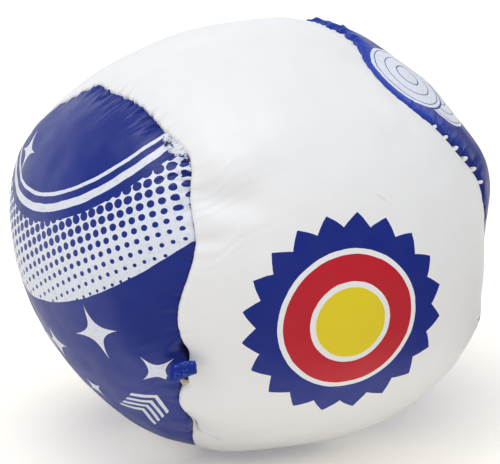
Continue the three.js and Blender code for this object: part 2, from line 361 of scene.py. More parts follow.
def fold_height(toward):
    """The folds: each is a line between two directions with a bell-shaped section."""
    height = np.zeros(toward.shape[:-1])
    for azimuth, elevation, end_azimuth, end_elevation, width, amount in FOLDS:
        start = direction(azimuth, elevation)
        end = direction(end_azimuth, end_elevation)
        ahead = unit(end - start * (start @ end))
        length = math.acos(start @ end) * MEAN_RADIUS
        along = toward @ ahead * MEAN_RADIUS
        beyond = np.maximum(0, np.maximum(-along, along - length))
        across = toward @ np.cross(start, ahead) * MEAN_RADIUS
        facing = toward @ start > 0
        height += facing * amount * bell(np.hypot(across, beyond), width)
    return height


def broad_relief(toward):
    relief = fold_height(toward)
    for seed, (size, height) in enumerate(FACE_WAVES, FACE_SEED):
        relief = relief + height * face_waves(toward, size, seed)
    return relief


def stitch_pull(seam, seed):
    """1 where a stitch holds the edge down and 0 between stitches, each stitch a bit different."""
    rng = np.random.default_rng(seed)
    strength = rng.normal(1, NOTCH_CHANCE_SHARE, STITCH_COUNT)
    nearest = np.round(seam.stitch)
    away = seam.stitch - nearest
    return strength[nearest.astype(int) % STITCH_COUNT] * bell(away, NOTCH_WIDTH_SHARE)


def edge_shift(seam, width):
    """How a panel's edge strays near the seam: outwards, and away from the seam."""
    side = seam.side
    pull = (stitch_pull(seam, NOTCH_SEED + side) * zoned(seam.place, NOTCH[side]))[:, None]
    ruffle = zoned(seam.place, RUFFLE[side])
    sideways, upwards = (
        (ruffle * seam_ripple(seam.angle, pitch, seed + side))[:, None]
        for pitch, seed in zip(RUFFLE_PITCHES, RUFFLE_SEEDS)
    )
    near = bell(width, EDGE_REACH)
    lift = side * zoned(seam.place, STEP)[:, None] * bell(width, STEP_REACH)
    lift = lift + (RUFFLE_RISE_SHARE * upwards - pull) * near
    gape = zoned(seam.place, GAPE[side])[:, None]
    slide = (gape + pull * NOTCH_SLIDE_SHARE + sideways) * near
    for number, (panel, place, spread, height, reach, pitch) in enumerate(PUCKERS):
        if panel == side:
            amount = height * bell(place_gap(seam.place, place), spread)
            wave = amount * seam_ripple(seam.angle, pitch, PUCKER_SEED + number)
            lift = lift + wave[:, None] * np.exp(-width / reach)
    return lift, slide


def cover_points(seam, width, depth):
    """Points of a panel's layers: a width from the seam and a depth below the face, for each
    column and row."""
    lift, slide = edge_shift(seam, width)
    shown = np.exp(-depth / DETAIL_DEPTH)
    slide = slide * (DEEP_SLIDE_SHARE + (1 - DEEP_SLIDE_SHARE) * shown)
    across = (width + slide) / MEAN_RADIUS
    squared = smooth_step(width / SQUARE_REACH)[..., None]
    square = seam.side * seam.toward_white[:, None]
    heading = unit(square * (1 - squared) + seam.toward_lane[:, None] * squared)
    toward = seam.out[:, None] * np.cos(across)[..., None] + heading * np.sin(across)[..., None]
    share = width / seam.span[:, None]
    dip = seam.dip[:, None] * (1 - share) * np.exp(-width / SEAM_DIP_REACH)
    fade = smooth_step((1 - share) * LANE_FADE)
    lift = lift * fade * (DEEP_LIFT_SHARE + (1 - DEEP_LIFT_SHARE) * shown)
    radius = form_radius(toward) - dip - depth + lift + broad_relief(toward)
    points = CENTRE + toward * radius[..., None]
    above = points[..., 2] - depth
    pressed = (above + np.hypot(above, PRESS_ROUNDING)) / 2
    points[..., 2] = depth + pressed - PRESS_ROUNDING * PRESS_SETTLING_SHARE
    return points


def layer_rows(seam, depth, face_steps, fold_steps):
    """Widths and depths of one surface of a layer, from the middle lane over the roll to the raw
    edge of the seam allowance."""
    roll = max(FOLD_RADIUS - depth, LEAST_ROLL)
    inside = HALF_GAP + depth
    start = inside + roll
    growth = ROW_GROWTH ** np.arange(face_steps, 0, -1) - 1
    face = start + (seam.span[:, None] - start) * growth / growth[0]
    bend = np.linspace(0, math.pi / 2, fold_steps + 1)
    widths = [*(start - roll * np.sin(bend)), inside, inside]
    depths = [*(depth + roll - roll * np.cos(bend))]
    depths += [FOLD_RADIUS + SEAM_ALLOWANCE / 2, FOLD_RADIUS + SEAM_ALLOWANCE]
    columns = len(seam.angle)
    width = np.hstack([face, np.tile(widths, (columns, 1))])
    below = np.hstack([np.full(face.shape, depth), np.tile(depths, (columns, 1))])
    return width, below


def sew(mesh):
    """Joins corners that lie at one place, and turns the faces outwards."""
    bm = bmesh.new()
    bm.from_mesh(mesh)
    bmesh.ops.remove_doubles(bm, verts=bm.verts, dist=SEWN_DISTANCE * MM)
    bmesh.ops.recalc_face_normals(bm, faces=bm.faces)
    bm.to_mesh(mesh)
    bm.free()


def placed_grid(name, points, widths=None, closed=True):
    """A mesh from points in columns and rows: a grid whose corners are set in place. A closed one
    goes round, and its sides are sewn together."""
    columns, rows = points.shape[:2]
    steps = columns if closed else columns - 1
    bm = bmesh.new()
    bmesh.ops.create_grid(bm, x_segments=steps, y_segments=rows - 1, size=1)
    mesh = bpy.data.meshes.new(name)
    bm.to_mesh(mesh)
    bm.free()
    corners = np.empty(len(mesh.vertices) * 3)
    mesh.vertices.foreach_get("co", corners)
    corners = corners.reshape(-1, 3)
    column = np.rint((corners[:, 0] + 1) / 2 * steps).astype(int) % columns
    row = np.rint((corners[:, 1] + 1) / 2 * (rows - 1)).astype(int)
    mesh.vertices.foreach_set("co", (points[column, row] * MM).ravel())
    if widths is not None:
        from_seam = mesh.attributes.new("from_seam", "FLOAT", "POINT")
        from_seam.data.foreach_set("value", widths[column, row])
    sew(mesh)
    mesh.shade_smooth()
    return mesh


def add_piece(name, mesh, material, slot, *nodes):
    piece = bpy.data.objects.new(name, mesh)
    bpy.context.scene.collection.objects.link(piece)
    mesh.materials.append(material)
    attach(piece, "root")
    if nodes:
        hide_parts(*nodes)
    return piece


def layer_mesh(name, side, steps, depths, rows):
    """A closed layer of a panel: its outer surface, and its inner one back to the lane."""
    seam = Seam(even_places(STITCH_COUNT * steps))
    seam.turn_to(side)
    outer, inner = (layer_rows(seam, depth, *counts) for depth, counts in zip(depths, rows))
    width, depth = (np.hstack([above, below[:, ::-1]]) for above, below in zip(outer, inner))
    return placed_grid(name, cover_points(seam, width, depth), width)


def add_cover(name, side, material, slot, node):
    mesh = layer_mesh(name, side, COVER_STEPS, (0, SKIN_THICKNESS), COVER_ROWS)
    add_piece(name, mesh, material, slot, node)


def add_knit(name, side, material, node):
    top = SKIN_THICKNESS + BACKING_GAP
    mesh = layer_mesh(name, side, KNIT_STEPS, (top, top + BACKING_THICKNESS), KNIT_ROWS)
    add_piece(name, mesh, material, "knit_backing", node)


# Threads. A seam stitch comes out of the white fold, crosses the groove and goes down into the
# blue one. Each line of a path is a way towards white and a height over the folds' crests.
STITCH_PATH = [
    (0.7, -0.5),
    (0.5, -0.05),
    (0.25, 0.12),
    (-0.15, 0.2),
    (-0.6, 0.2),
    (-0.9, 0.1),
    (-1.0, -0.2),
    (-1.0, -0.6),
]
PULLED_PATH = [
    (0.4, -0.5),
    (0.3, -0.1),
    (0.18, 0.06),
    (0, 0.14),
    (-0.18, 0.12),
    (-0.3, -0.04),
    (-0.34, -0.3),
    (-0.34, -0.7),
]
CLOSING_PATH = [
    (0.8, -0.5),
    (0.6, 0),
    (0.35, 0.06),
    (0, -0.02),
    (-0.35, -0.06),
    (-0.6, -0.2),
    (-0.75, -0.6),
]
STITCH_SINK = (0.7, [(225, 18, 0.7), (250, 16, 1.1)])
PULLED_SINK = (0.08, [(9, 4, 0.16)])
CLOSING_SINK = (1.6, [(268, 3, 0.5), (290, 2, -0.6)])
STITCH_SLANT = 0.16
CLOSING_SLANT = 0.55
STITCH_REACH = (1.0, [(48, 9, -0.3), (9, 4, -0.3)])
REACH_CHANCE_SHARES = (0.85, 1.15)
SLANT_CHANCE_SHARE = 0.35
STITCH_SEED = 51
PULLED_SEED = 53
CLOSING_SEED = 52
STITCH_RADIUS = 0.2
CLOSING_RADIUS = 0.22
BOBBIN_RADIUS = 0.1
BOBBIN_HEIGHT = -2.6
STRAND_ROUNDING = 2
STRAND_POINTS = 13

# The stretch of machine stitches that pulled deep, and the one closed by hand, with its first and
# last stitch a margin inside it
PULLED_START = 2.6
PULLED_END = 18.6
CLOSING_START = 266
CLOSING_END = 292
CLOSING_MARGIN = 1
CLOSING_STITCHES = 8


def strand_mesh(name, paths, radius, cyclic=False):
    """Round strands along paths of points, drawn as curves and made a mesh."""
    curve = bpy.data.curves.new(name, "CURVE")
    curve.dimensions = "3D"
    curve.bevel_depth = radius * MM
    curve.bevel_resolution = STRAND_ROUNDING
    curve.use_fill_caps = not cyclic
    for path in paths:
        spline = curve.splines.new("POLY")
        spline.points.add(len(path) - 1)
        corners = np.hstack([np.asarray(path) * MM, np.ones((len(path), 1))])
        spline.points.foreach_set("co", corners.ravel())
        spline.use_cyclic_u = cyclic
        spline.use_smooth = True
    drawn = bpy.data.objects.new(name, curve)
    mesh = bpy.data.meshes.new_from_object(drawn)
    mesh.name = name
    bpy.data.objects.remove(drawn)
    bpy.data.curves.remove(curve)
    sew(mesh)
    return mesh


def rounded_path(path, steps):
    """Points of a smooth curve through a short path's points."""
    path = np.asarray(path, float)
    spots = np.linspace(0, len(path) - 1, steps)
    left = np.minimum(spots.astype(int), len(path) - 2)
    share = (spots - left)[:, None]
    padded = np.vstack([2 * path[0] - path[1], path, 2 * path[-1] - path[-2]])
    before, start, end, after = (padded[left + offset] for offset in range(4))
    bend = 2 * before - 5 * start + 4 * end - after
    twist = 3 * (start - end) + after - before
    return start + share * ((end - before) + share * (bend + share * twist)) / 2


def stitch_paths(places, path, sink, slant, seed):
    """One path of points for each stitch, each a bit different and slanted along the seam."""
    seam = Seam(places)
    rng = np.random.default_rng(seed)
    depth = zoned(places, sink)
    step = zoned(places, STEP)
    stretch = zoned(places, STITCH_REACH)
    paths = []
    for row in range(len(places)):
        lean = slant * rng.normal(1, SLANT_CHANCE_SHARE)
        reach = rng.uniform(*REACH_CHANCE_SHARES) * stretch[row]
        points = [
            seam.point(row, across * reach, height - depth[row] + math.copysign(step[row], across))
            + seam.ahead[row] * lean * across
            for across, height in path
        ]
        paths.append(rounded_path(points, STRAND_POINTS))
    return paths


def add_threads(material):
    places = even_places(STITCH_COUNT)
    pulled = (places > PULLED_START) & (places < PULLED_END)
    closing = (places > CLOSING_START) & (places < CLOSING_END)
    paths = stitch_paths(places[~closing & ~pulled], STITCH_PATH, STITCH_SINK, STITCH_SLANT, STITCH_SEED)
    paths += stitch_paths(places[pulled], PULLED_PATH, PULLED_SINK, STITCH_SLANT, PULLED_SEED)
    mesh = strand_mesh("seam_stitches", paths, STITCH_RADIUS)
    add_piece("seam_stitches", mesh, material, "thread", "needle_thread")
    places = np.linspace(CLOSING_START + CLOSING_MARGIN, CLOSING_END - CLOSING_MARGIN, CLOSING_STITCHES)
    paths = stitch_paths(places, CLOSING_PATH, CLOSING_SINK, CLOSING_SLANT, CLOSING_SEED)
    mesh = strand_mesh("hand_stitches", paths, CLOSING_RADIUS)
    add_piece("hand_stitches", mesh, material, "thread", "closing_thread")
    seam = Seam(even_places(2 * STITCH_COUNT))
    loop = [seam.point(row, 0, BOBBIN_HEIGHT) for row in range(len(seam.angle))]
    mesh = strand_mesh("under_thread", [loop], BOBBIN_RADIUS, cyclic=True)
    add_piece("under_thread", mesh, material, "thread", "bobbin_thread")


# The tuck: spare cloth of the blue panel, rolled up over the seam where it was closed by hand. It
# narrows from its rounded start to its open end, is skewed at both and is slightly wavy. The turn
# of its skew is in radians, and its waves are so many round it, with a lead in radians at its end.
TUCK_PLACE = 272.45
TUCK_TILT = -9
TUCK_SWING = 21
TUCK_LIFT = 1.62
TUCK_START = -1.75
TUCK_END = 1.6
TUCK_RADII = (1.2, 0.78)
TUCK_TURNS = 1.4
TUCK_START_TURN = 0.35
TUCK_ROUNDING = 1.0
TUCK_ROUNDING_LEAD = 0.08
TUCK_CLOTH = 0.25
TUCK_LAYER_GAP = 0.05
TUCK_START_SKEW = 0.35
TUCK_END_SKEW = 0.16
TUCK_SKEW_TURN = 1
TUCK_WAVE_SHARE = 0.03
TUCK_WAVES = (3, 5)
TUCK_FLATNESS = 0.12
TUCK_GRID = (64, 26)

# The knit tab: a corner of the backing that was caught in the closed seam below the tuck. It
# narrows to its point, which sways aside, and it is arched over the groove and droops.
TAB_PLACE = 275.8
TAB_LENGTH = 1.3
TAB_WIDTH = 1.3
TAB_CLOTH = 0.28
TAB_NARROWING_SHARE = 0.85
TAB_SWAY = 0.15
TAB_LIFT = 0.28
TAB_DROOP = 0.45
TAB_ARCH = 0.2
TAB_GRID = (9, 7)

# The creased edge: a bit of the blue panel's turned-in cloth that has crept out of the seam
CREASE_PLACES = (236.4, 243.0)
CREASE_BACK = -1.5
CREASE_FRONT = 0.35
CREASE_HEIGHT = 0.16
CREASE_EDGE_DEPTH = 0.5
CREASE_SQUARENESS = 4
CREASE_END_SHARE = 0.001
CREASE_RUFFLE = 0.2
CREASE_PITCH = 0.75
CREASE_SEEDS = (60, 61)
CREASE_CLOTH = 0.2
CREASE_GRID = (90, 26)


def tuck_points():
    """The rolled cloth of the tuck, from its buried, rounded end to its open one."""
    around, along = TUCK_GRID
    seam = Seam(np.array([TUCK_PLACE]))
    out = seam.out[0]
    across = turn(out, TUCK_SWING) @ seam.toward_white[0]
    tilt = math.radians(TUCK_TILT)
    axis = across * math.cos(tilt) + out * math.sin(tilt)
    up = unit(out - axis * (out @ axis))
    aside = np.cross(axis, up)
    wound = np.linspace(0, 1, around)[:, None]
    share = np.linspace(0, 1, along)[None, :]
    angle = TURN * (TUCK_START_TURN + TUCK_TURNS * wound)
    layer = (TUCK_CLOTH + TUCK_LAYER_GAP) * TUCK_TURNS * (1 - wound)
    start_radius, end_radius = TUCK_RADII
    travel = TUCK_START + (TUCK_END - TUCK_START) * share
    rounded = np.clip((travel - TUCK_START + TUCK_ROUNDING_LEAD) / TUCK_ROUNDING, 0, 1)
    radius = start_radius + (end_radius - start_radius) * share - layer
    waves, wave_lead = TUCK_WAVES
    wavy = 1 + TUCK_WAVE_SHARE * np.sin(waves * angle + wave_lead * share)
    radius = radius * np.sqrt(1 - (1 - rounded) ** 2) * wavy
    end_skew = TUCK_END_SKEW * np.sin(angle - TUCK_SKEW_TURN) * share
    start_skew = TUCK_START_SKEW * np.cos(angle) * (1 - share)
    along_axis = travel + end_skew - start_skew
    height = np.sin(angle) * radius * (1 - TUCK_FLATNESS)
    breadth = np.cos(angle) * radius * (1 + TUCK_FLATNESS)
    base = CENTRE + out * (seam.crest[0] + TUCK_LIFT)
    return base + axis * along_axis[..., None] + up * height[..., None] + aside * breadth[..., None]


def tab_points():
    """A pointed corner of knit that lies across the groove, with its point down."""
    around, along = TAB_GRID
    seam = Seam(np.array([TAB_PLACE]))
    out = seam.out[0]
    across = np.linspace(-1, 1, around)[:, None]
    share = np.linspace(0, 1, along)[None, :]
    breadth = across * TAB_WIDTH / 2 * (1 - TAB_NARROWING_SHARE * share) + TAB_SWAY * share
    height = TAB_LIFT - TAB_DROOP * share - TAB_ARCH * across**2
    sideways = seam.toward_white[0] * breadth[..., None]
    downwards = seam.ahead[0] * (TAB_LENGTH * share)[..., None]
    return CENTRE + out * seam.crest[0] + sideways + out * height[..., None] + downwards


def crease_points():
    """A narrow puckered strip along the seam that narrows and dives at both ends and sides."""
    along, wide = CREASE_GRID
    seam = Seam(np.linspace(*CREASE_PLACES, along))
    way = np.linspace(0, 1, along)[:, None]
    share = np.linspace(0, 1, wide)[None, :]
    full = np.sqrt(np.sin(math.pi * np.clip(way, CREASE_END_SHARE, 1 - CREASE_END_SHARE)))
    across = CREASE_FRONT + (CREASE_BACK - CREASE_FRONT) * share * full
    rise = seam.dip[:, None] * (1 - np.exp(-np.abs(across) / SEAM_DIP_REACH))
    squared = 1 - (2 * share - 1) ** CREASE_SQUARENESS
    arch = (CREASE_HEIGHT + CREASE_EDGE_DEPTH) * full * squared - CREASE_EDGE_DEPTH
    swell, lead = (seam_ripple(seam.angle, CREASE_PITCH, seed)[:, None] for seed in CREASE_SEEDS)
    ruffle = CREASE_RUFFLE * np.sin(TURN * share + lead) * swell * full
    height = seam.crest[:, None] + rise + arch + ruffle
    return CENTRE + seam.out[:, None] * height[..., None] + seam.toward_white[:, None] * across[..., None]


def add_cloth(name, points, thickness, slot, face, back=None):
    """A piece of cloth with its thickness below its face. Its back can be of another material."""
    mesh = placed_grid(name, points, closed=False)
    cloth = add_piece(name, mesh, face, slot).modifiers.new("cloth", "SOLIDIFY")
    cloth.thickness = thickness * MM
    cloth.offset = -1
    if back:
        mesh.materials.append(back)
        cloth.material_offset = 1


def add_stray_cloth(outside, inside):
    """The bits of cloth that stand out of the seam."""
    add_cloth("rolled_tuck", tuck_points(), TUCK_CLOTH, "blue_vinyl", outside, inside)
    add_cloth("creased_edge", crease_points(), CREASE_CLOTH, "blue_vinyl", creased_vinyl())
    add_cloth("knit_tab", tab_points(), TAB_CLOTH, "knit_backing", inside)


# The fill: moulded pellets, poured in loose, each turned and sized on its own. The inset is below
# the cover's face, and the clearance is round the turned-in edges of the seam.
PELLET_PITCH = 3.35
PELLET_SIZES = (2.7, 3.1)
PELLET_FLATNESS = 0.8
PELLET_STRAY = 0.1
PELLET_SEGMENTS = (8, 5)
PELLET_SEED = 71
FILL_INSET = 2.8
FILL_FLOOR = 2.4
SEAM_CLEARANCE = 2.75
ALLOWANCE_ROWS = 5


def pellet_places():
    """Middles of the pellets: close-packed layers inside the cover, clear of its sewn edges. The
    spot at the ball's centre stays empty, because it has no direction."""
    reach = math.ceil(HALF_SIZES[0] / PELLET_PITCH) + 1
    count = np.arange(-2 * reach, 2 * reach + 1)
    columns, rows, layers = (part.ravel() for part in np.meshgrid(count, count, count))
    across = columns + rows / 2 + layers / 2
    along = (rows + layers / 3) * math.sqrt(3) / 2
    spots = np.stack([across, along, layers * math.sqrt(2 / 3)], -1) * PELLET_PITCH
    away = np.linalg.norm(spots, axis=-1)
    inside = (away > 0) & (away < HALF_SIZES[0])
    spots, away = spots[inside], away[inside]
    seam = Seam(even_places(2 * STITCH_COUNT))
    depths = np.linspace(0, FOLD_RADIUS + SEAM_ALLOWANCE, ALLOWANCE_ROWS)
    edge = [seam.out * (seam.crest - depth)[:, None] for depth in depths]
    gaps = [np.linalg.norm(spots[:, None] - line, axis=-1).min(axis=1) for line in edge]
    limit = form_radius(unit(spots)) - FILL_INSET - SEAM_DIP[0] * np.exp(-gaps[0] / SEAM_DIP_REACH)
    above = spots[:, 2] + CENTRE[2] > FILL_FLOOR
    return spots[(away < limit) & above & (np.min(gaps, axis=0) > SEAM_CLEARANCE)] + CENTRE


def pellet_mesh(places):
    """One pellet repeated for each place, then each copy strayed, turned and sized a bit."""
    rng = np.random.default_rng(PELLET_SEED)
    around, upwards = PELLET_SEGMENTS
    bm = bmesh.new()
    bmesh.ops.create_uvsphere(bm, u_segments=around, v_segments=upwards, radius=1)
    single = bpy.data.meshes.new("pellet")
    bm.to_mesh(single)
    bm.free()
    single.shade_smooth()
    row = bpy.data.objects.new("pellet_row", single)
    bpy.context.scene.collection.objects.link(row)
    repeat = row.modifiers.new("repeat", "ARRAY")
    repeat.count = len(places)
    repeat.use_relative_offset = False
    repeated = row.evaluated_get(bpy.context.evaluated_depsgraph_get())
    mesh = bpy.data.meshes.new_from_object(repeated)
    mesh.name = "pellets"
    bpy.data.objects.remove(row)
    corners = np.empty(len(mesh.vertices) * 3)
    mesh.vertices.foreach_get("co", corners)
    corners = corners.reshape(len(places), -1, 3) * (1, 1, PELLET_FLATNESS)
    for copy, place in zip(corners, places):
        spin = turn(rng.normal(size=3), rng.uniform(0, 2 * HALF_TURN))
        stray = rng.uniform(-PELLET_STRAY, PELLET_STRAY, 3)
        copy[:] = copy @ spin.T * rng.uniform(*PELLET_SIZES) / 2 + place + stray
    mesh.vertices.foreach_set("co", (corners * MM).ravel())
    return mesh


def linear(hex_colour):
    """An sRGB hex colour as the linear values that a shader takes."""
    parts = [int(hex_colour[start : start + 2], 16) / 255 for start in (1, 3, 5)]
    bright = [((part + 0.055) / 1.055) ** 2.4 if part > 0.04045 else part / 12.92 for part in parts]
    return (*bright, 1.0)


def add(tree, kind, *inputs, **parts):
    """Adds a node. Inputs come in order or by name, with _ for a space, as a value, hex colour,
    socket or node. Names in small letters are settings."""
    node = tree.nodes.new("ShaderNode" + kind)
    given = dict(enumerate(inputs))
    for name, value in parts.items():
        if name[0].islower():
            setattr(node, name, value)
        else:
            given[name.replace("_", " ")] = value
    for place, value in given.items():
        if isinstance(value, bpy.types.Node):
            value = next(output for output in value.outputs if output.enabled)
        if isinstance(value, bpy.types.NodeSocket):
            tree.links.new(value, node.inputs[place])
        else:
            node.inputs[place].default_value = linear(value) if isinstance(value, str) else value
    return node


def merged(tree, operation, masks):
    """One mask from several, such as their highest, their least or their product."""
    whole = masks[0]
    for mask in masks[1:]:
        whole = add(tree, "Math", whole, mask, operation=operation)
    return whole


def new_material(name):
    """An empty material, its node tree, and the places on the piece that it is drawn on."""
    material = bpy.data.materials.new(name)
    material.use_nodes = True
    tree = material.node_tree
    tree.nodes.clear()
    return material, tree, add(tree, "TexCoord").outputs["Object"]


def finished(material, **surface):
    """The material with its surface, made from the inputs of a plain shader."""
    tree = material.node_tree
    add(tree, "OutputMaterial", Surface=add(tree, "BsdfPrincipled", **surface))
    return material


def set_bands(ramp, bands, blend="CONSTANT"):
    """Fills a ramp with bands: the share where each begins, and its colour."""
    ramp.color_ramp.interpolation = blend
    stops = ramp.color_ramp.elements
    stops.remove(stops[1])
    stops[0].position = bands[0][0]
    stops[0].color = linear(bands[0][1])
    for start, colour in bands[1:]:
        stops.new(start).color = linear(colour)


# The print. A motif's place is an azimuth and elevation on the ball, then how it is turned. The
# halftone rings have a place for their middle and one for their dots.
INK_WAVER = 0.16
INK_WAVER_SCALE = 1.6
HALFTONE_RINGS = [(-163, 46, -131, 14, 30), (44, -34, 27, 10, 12)]
HALFTONE_MIDDLE = 20.0
HALFTONE_HALF_WIDTH = 4.0
HALFTONE_PITCH = 1.15
HALFTONE_DOT_SHARES = (0.46, 0.16)
THIN_RINGS = [(14.6, 0.42), (13.2, 0.2)]
RINGED_DISCS = [(7, 37, 4.6), (4, 47, 5.2), (66, 30, 4.6), (-155, -60, 6.0)]
DISC_RING_SHARES = [(0.28, 0.31), (0.58, 0.605), (0.84, 0.865)]
DISC_INK_SHARE = 0.95
INKED = "#FFFFFF"
BARE = "#000000"
SPARKLES = [
    (-131, -9, 18, 3.4),
    (-115, -17, 40, 2.5),
    (-150, -18, 5, 2.2),
    (-143, -31, 30, 1.6),
    (-172, 24, 15, 2.6),
    (20, -8, 15, 3.2),
    (42, 36, 40, 2.4),
    (-30, -70, 10, 3.0),
]
SPARKLE_PINCH = 0.32
SPARKLE_CUT_SHARE = 1.1
CHEVRONS = [(-124, -33, 48), (50, -24, 140), (-168, -28, 20)]
CHEVRON_PITCH = 1.5
CHEVRON_INK_SHARE = 0.5
CHEVRON_ROWS = 4
CHEVRON_HALF_WIDTH = 2.3


def motif_frame(tree, place, azimuth, elevation, spin=0):
    """The flat of a motif, in millimetres, with its middle on the ball's face, and how far from
    that middle a place is."""
    toward = direction(azimuth, elevation)
    spot = CENTRE + toward * form_radius(toward)
    right = unit(np.cross((0, 0, 1), toward))
    axes = Matrix(np.stack([right, np.cross(toward, right), toward], axis=1))
    angles = Vector((axes @ Matrix.Rotation(math.radians(spin), 3, "Z")).to_euler())
    scale = (MM, MM, MM)
    flat = add(tree, "Mapping", place, Vector(spot * MM), angles, scale, vector_type="TEXTURE")
    return flat, add(tree, "VectorMath", flat, operation="LENGTH")


def halftone_ring(tree, place, azimuth, elevation, dots_azimuth, dots_elevation, spin):
    """A wide ring of ink that thins out to dots towards its middle, with two fine rings in it."""
    _, radius = motif_frame(tree, place, azimuth, elevation)
    inside, outside = HALFTONE_MIDDLE - HALFTONE_HALF_WIDTH, HALFTONE_MIDDLE + HALFTONE_HALF_WIDTH
    dot_size = add(tree, "MapRange", radius, inside, outside, *HALFTONE_DOT_SHARES)
    dots, _ = motif_frame(tree, place, dots_azimuth, dots_elevation, spin)
    share = 1 / HALFTONE_PITCH
    dots = add(tree, "VectorMath", dots, (share, share, 0), operation="MULTIPLY")
    dots = add(tree, "VectorMath", dots, operation="FRACTION")
    dots = add(tree, "VectorMath", dots, (0.5, 0.5, 0), operation="DISTANCE")
    inked = add(tree, "Math", dots, dot_size, operation="GREATER_THAN")
    band, *fine = (
        add(tree, "Math", radius, middle, half_width, operation="COMPARE")
        for middle, half_width in [(HALFTONE_MIDDLE, HALFTONE_HALF_WIDTH), *THIN_RINGS]
    )
    return merged(tree, "MAXIMUM", [merged(tree, "MINIMUM", [band, inked]), *fine])


def ringed_disc(tree, place, azimuth, elevation, size):
    """A full disc of ink with fine rings left out of it, and the round that it covers."""
    _, radius = motif_frame(tree, place, azimuth, elevation)
    share = add(tree, "Math", radius, size, operation="DIVIDE")
    ramp = add(tree, "ValToRGB", share)
    bands = [(0, INKED)]
    for start, end in DISC_RING_SHARES:
        bands += [(start, BARE), (end, INKED)]
    set_bands(ramp, [*bands, (DISC_INK_SHARE, BARE)])
    return ramp, add(tree, "Math", share, 1.0, operation="LESS_THAN")


def sparkle(tree, place, azimuth, elevation, spin, reach):
    """A four-pointed star with hollow sides and its tips cut."""
    flat, radius = motif_frame(tree, place, azimuth, elevation, spin)
    near = add(tree, "Math", radius, reach * SPARKLE_CUT_SHARE, operation="LESS_THAN")
    pinch = SPARKLE_PINCH * math.sqrt(reach / 2)
    away = add(tree, "VectorMath", flat, operation="ABSOLUTE")
    away = add(tree, "VectorMath", away, (pinch, pinch, 0), operation="ADD")
    parts = add(tree, "SeparateXYZ", away).outputs
    area = merged(tree, "MULTIPLY", [parts["X"], parts["Y"]])
    inside = add(tree, "Math", area, pinch * (pinch + reach), operation="LESS_THAN")
    return merged(tree, "MINIMUM", [near, inside])


def chevrons(tree, place, azimuth, elevation, spin):
    """A short row of arrow-shaped bars."""
    flat, radius = motif_frame(tree, place, azimuth, elevation, spin)
    near = add(tree, "Math", radius, CHEVRON_ROWS * CHEVRON_PITCH, operation="LESS_THAN")
    parts = add(tree, "SeparateXYZ", flat).outputs
    aside = add(tree, "Math", parts["Y"], operation="ABSOLUTE")
    within = add(tree, "Math", aside, CHEVRON_HALF_WIDTH, operation="LESS_THAN")
    along = add(tree, "Math", parts["X"], aside, operation="ADD")
    along = add(tree, "Math", along, CHEVRON_PITCH, operation="DIVIDE")
    row = add(tree, "Math", along, 0.5, CHEVRON_ROWS / 2, operation="COMPARE")
    bar = add(tree, "Math", along, operation="FRACT")
    bar = add(tree, "Math", bar, CHEVRON_INK_SHARE, operation="LESS_THAN")
    return merged(tree, "MINIMUM", [bar, row, within, near])


def wavering(tree, place):
    """Places with a slight waver, which gives ink its uneven edge."""
    noise = add(tree, "TexNoise", place, Scale=1 / (INK_WAVER_SCALE * MM))
    waver = (INK_WAVER * MM, INK_WAVER * MM, INK_WAVER * MM)
    colour = noise.outputs["Color"]
    return add(tree, "VectorMath", colour, waver, place, operation="MULTIPLY_ADD")


def print_mask(tree, place):
    """Where the blue panel carries white ink."""
    place = wavering(tree, place)
    masks = [halftone_ring(tree, place, *spot) for spot in HALFTONE_RINGS]
    masks += [sparkle(tree, place, *spot) for spot in SPARKLES]
    masks += [chevrons(tree, place, *spot) for spot in CHEVRONS]
    mask = merged(tree, "MAXIMUM", masks)
    for spot in RINGED_DISCS:
        disc, covered = ringed_disc(tree, place, *spot)
        mask = add(tree, "Mix", Factor=covered, A=mask, B=disc)
    return mask


# The target printed on the white panel's front lobe: where each ring begins, and its colour. The
# last ring is bare cloth, and the one before it has a toothed rim.
TARGET_PLACE = (-67, -2.3)
TARGET_SIZE = 12.5
TARGET_RINGS = [
    (0, "#E9D200"),
    (4.0, "#EEEEF0"),
    (4.6, "#C70021"),
    (7.5, "#EEEEF0"),
    (8.1, "#00228B"),
    (10.4, "#EEEEF0"),
]
TARGET_RAYS = 20
TARGET_RAY_LENGTH = 1.5
TARGET_RAY_START = 9.7


def target_print(tree, place, cloth):
    """Rings of yellow, red and blue ink, the blue one with a toothed rim, on the cloth's colour."""
    flat, radius = motif_frame(tree, wavering(tree, place), *TARGET_PLACE)
    share_round = add(tree, "TexGradient", flat, gradient_type="RADIAL").outputs["Fac"]
    teeth = add(tree, "Math", share_round, 2 * TARGET_RAYS, operation="MULTIPLY")
    teeth = add(tree, "Math", teeth, 1.0, operation="PINGPONG")
    rim = add(tree, "Math", radius, TARGET_RAY_START, operation="GREATER_THAN")
    teeth = merged(tree, "MULTIPLY", [teeth, rim])
    reach = add(tree, "Math", teeth, -TARGET_RAY_LENGTH, radius, operation="MULTIPLY_ADD")
    share = add(tree, "Math", reach, TARGET_SIZE, operation="DIVIDE")
    rings = add(tree, "ValToRGB", share)
    set_bands(rings, [(start / TARGET_SIZE, colour) for start, colour in TARGET_RINGS])
    inked = add(tree, "Math", reach, TARGET_RINGS[-1][0], operation="LESS_THAN")
    return add(tree, "Mix", data_type="RGBA", Factor=inked, A=cloth, B=rings)


